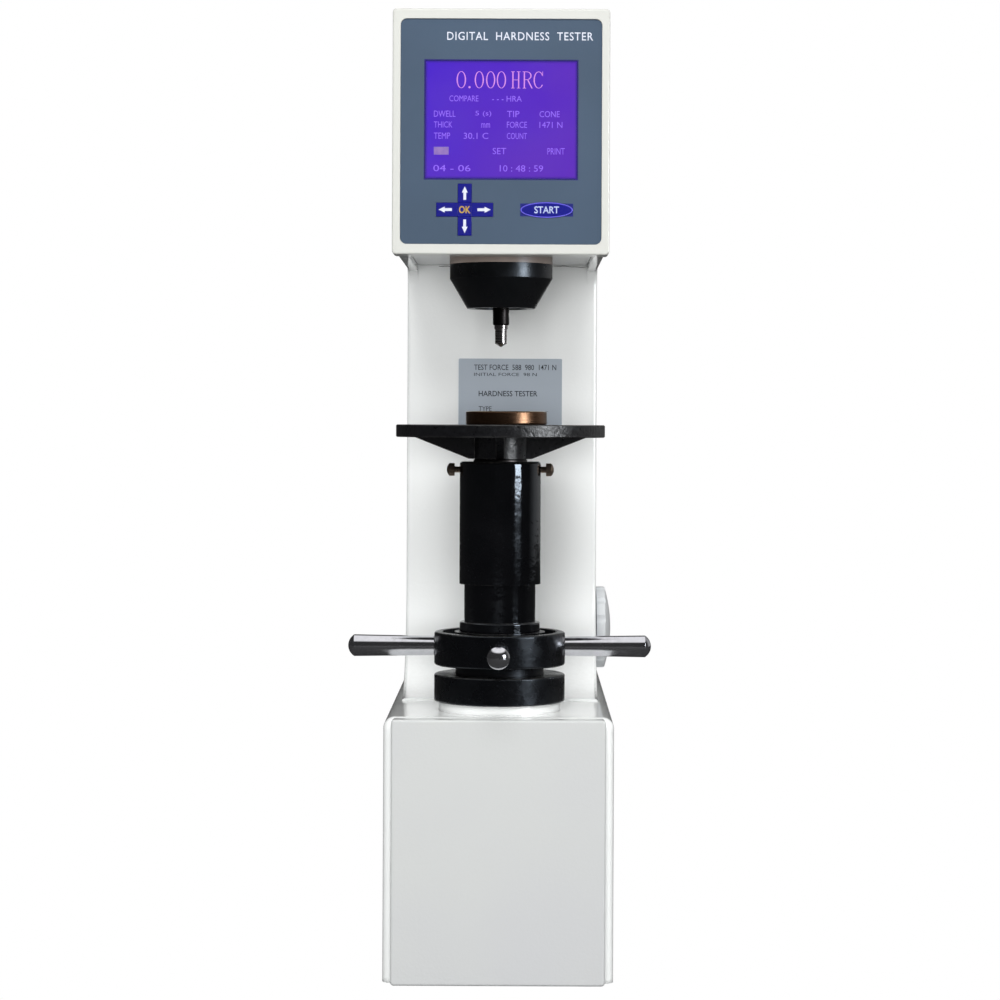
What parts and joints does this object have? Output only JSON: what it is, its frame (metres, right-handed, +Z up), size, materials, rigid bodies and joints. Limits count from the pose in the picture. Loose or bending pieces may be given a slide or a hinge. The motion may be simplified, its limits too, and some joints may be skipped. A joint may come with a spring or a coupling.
{
  "type": "hardness tester",
  "caption": "Bench hardness tester: C-frame with display head, sprung indenter spindle, raised table on a capstan screw, and a weight-loaded lever inside.",
  "frame": {"origin": "on the spindle axis at bench level, on the underside of the base casting", "axes": "+X to the right of the operator, +Y from the operator towards the column, +Z up along the spindle and the elevating screw"},
  "size_m": [0.248, 0.56, 0.773],
  "materials": {
    "paint_body": "gloss off-white enamel",
    "paint_cover": "gloss off-white enamel",
    "paint_bezel": "satin warm white enamel",
    "panel_film": "satin blue-grey film",
    "display": "lit violet display under clear cover",
    "circuit_board": "green board",
    "plated_screws": "nickel plated",
    "black_plastic": "black moulding",
    "plate_metal": "satin blue-grey plate",
    "dull_steel": "turned",
    "dark_steel": "blackened",
    "turned_steel": "ground",
    "cast_grey": "as cast",
    "bronze": "machined",
    "black_enamel": "gloss black",
    "chrome": "polished",
    "table_iron": "black cast and ground",
    "block_bronze": "brushed dark bronze",
    "knob_grey": "light grey",
    "key_blue": "dark blue"
  },
  "bodies": {
    "frame": {"base_casting": "paint_body", "column_casting": "paint_body", "base_front_cover": "paint_cover", "head_bezel": "paint_bezel", "front_panel": "panel_film", "lcd_module": "display", "control_board": "circuit_board", "key_board": "circuit_board", "top_cover": "paint_body", "column_rear_cover": "paint_body", "base_rear_cover": "paint_body", "cover_screws": "plated_screws", "power_entry": "black_plastic", "serial_port": "plated_screws", "power_supply": "circuit_board", "data_plate": "plate_metal", "head_underplate": "paint_body", "spindle_bush": "dull_steel", "chuck_cover": "black_enamel", "spring_housing": "dull_steel", "preload_nut": "dull_steel", "preload_spring": "dull_steel", "fulcrum_bridge": "cast_grey", "depth_gauge": "black_plastic", "drive_bracket": "cast_grey", "load_motor": "cast_grey", "selector_dial": "plate_metal", "bearing_seat": "black_enamel", "thrust_bearing": "dull_steel", "screw_guide": "bronze"},
    "capstan": {"capstan_nut": "black_enamel", "capstan_ring": "black_enamel", "capstan_bars": "chrome", "inner_sleeve": "black_enamel"},
    "lift": {"lead_screw": "dull_steel", "outer_sleeve": "black_enamel", "thumb_screws": "plated_screws", "table": "table_iron", "test_block": "block_bronze"},
    "spindle": {"spindle": "dark_steel", "indenter": "turned_steel", "clamp_screw": "dark_steel"},
    "lever": {"load_lever": "cast_grey", "lever_knives": "dull_steel"},
    "hanger": {"weight_hanger": "dull_steel", "weight_base": "cast_grey", "weight_middle": "cast_grey", "weight_top": "cast_grey"},
    "lift_rod": {"lift_rod": "dull_steel"},
    "load_cam": {"load_cam": "dull_steel"},
    "selector": {"selector_shaft": "dull_steel", "selector_knob": "knob_grey"},
    "fork": {"weight_fork": "cast_grey"},
    "key_up": {"key_up": "key_blue"},
    "key_down": {"key_down": "key_blue"},
    "key_left": {"key_left": "key_blue"},
    "key_right": {"key_right": "key_blue"},
    "key_ok": {"key_ok": "key_blue"},
    "key_start": {"key_start": "key_blue"},
    "rocker": {"power_rocker": "black_plastic"}
  },
  "joints": [
    {"name": "capstan_turn", "type": "hinge", "parent": "frame", "child": "capstan", "pos_m": [0, 0, 0.2629], "axis": [0, 0, 1], "range_deg": [-3000, 1800]},
    {"name": "screw_lift", "type": "slide", "parent": "frame", "child": "lift", "axis": [0, 0, 1], "range_m": [-0.0301, 0.0501]},
    {"name": "spindle_slide", "type": "slide", "parent": "frame", "child": "spindle", "axis": [0, 0, 1], "range_m": [0, 0.0005], "stiffness_N_per_m": 2000, "springref_m": -0.002, "deforming": ["preload_spring"]},
    {"name": "load_cam_turn", "type": "hinge", "parent": "frame", "child": "load_cam", "pos_m": [0, 0.25, 0.42], "axis": [1, 0, 0], "range_deg": [0, 180]},
    {"name": "lever_tilt", "type": "hinge", "parent": "frame", "child": "lever", "pos_m": [0, -0.018, 0.7], "axis": [1, 0, 0], "range_deg": [-1, 0]},
    {"name": "hanger_slide", "type": "slide", "parent": "frame", "child": "hanger", "axis": [0, 0, 1], "range_m": [-0.00628, 0]},
    {"name": "lift_rod_slide", "type": "slide", "parent": "frame", "child": "lift_rod", "axis": [0, 0, 1], "range_m": [-0.0047, 0]},
    {"name": "selector_turn", "type": "hinge", "parent": "frame", "child": "selector", "pos_m": [0, 0.222, 0.262], "axis": [1, 0, 0], "range_deg": [-120, 0]},
    {"name": "fork_slide", "type": "slide", "parent": "frame", "child": "fork", "axis": [0, 0, 1], "range_m": [0, 0.009]},
    {"name": "rocker_tilt", "type": "hinge", "parent": "frame", "child": "rocker", "pos_m": [-0.004, 0.424, 0.062], "axis": [1, 0, 0], "range_deg": [0, 16]},
    {"name": "key_up_press", "type": "slide", "parent": "frame", "child": "key_up", "axis": [0, 1, 0], "range_m": [0, 0.0005], "stiffness_N_per_m": 400},
    {"name": "key_down_press", "type": "slide", "parent": "frame", "child": "key_down", "axis": [0, 1, 0], "range_m": [0, 0.0005], "stiffness_N_per_m": 400},
    {"name": "key_left_press", "type": "slide", "parent": "frame", "child": "key_left", "axis": [0, 1, 0], "range_m": [0, 0.0005], "stiffness_N_per_m": 400},
    {"name": "key_right_press", "type": "slide", "parent": "frame", "child": "key_right", "axis": [0, 1, 0], "range_m": [0, 0.0005], "stiffness_N_per_m": 400},
    {"name": "key_ok_press", "type": "slide", "parent": "frame", "child": "key_ok", "axis": [0, 1, 0], "range_m": [0, 0.0005], "stiffness_N_per_m": 400},
    {"name": "key_start_press", "type": "slide", "parent": "frame", "child": "key_start", "axis": [0, 1, 0], "range_m": [0, 0.0005], "stiffness_N_per_m": 400}
  ],
  "couplings": [
    {"joint": "screw_lift", "follows": "capstan_turn", "m_per_rad": -0.00095493},
    {"joint": "load_cam_turn", "follows": "hanger_slide", "rad_per_m": -500},
    {"joint": "lever_tilt", "follows": "hanger_slide", "rad_per_m": 2.7778},
    {"joint": "lift_rod_slide", "follows": "hanger_slide", "ratio": 0.74444},
    {"joint": "selector_turn", "follows": "fork_slide", "rad_per_m": -232.7}
  ]
}
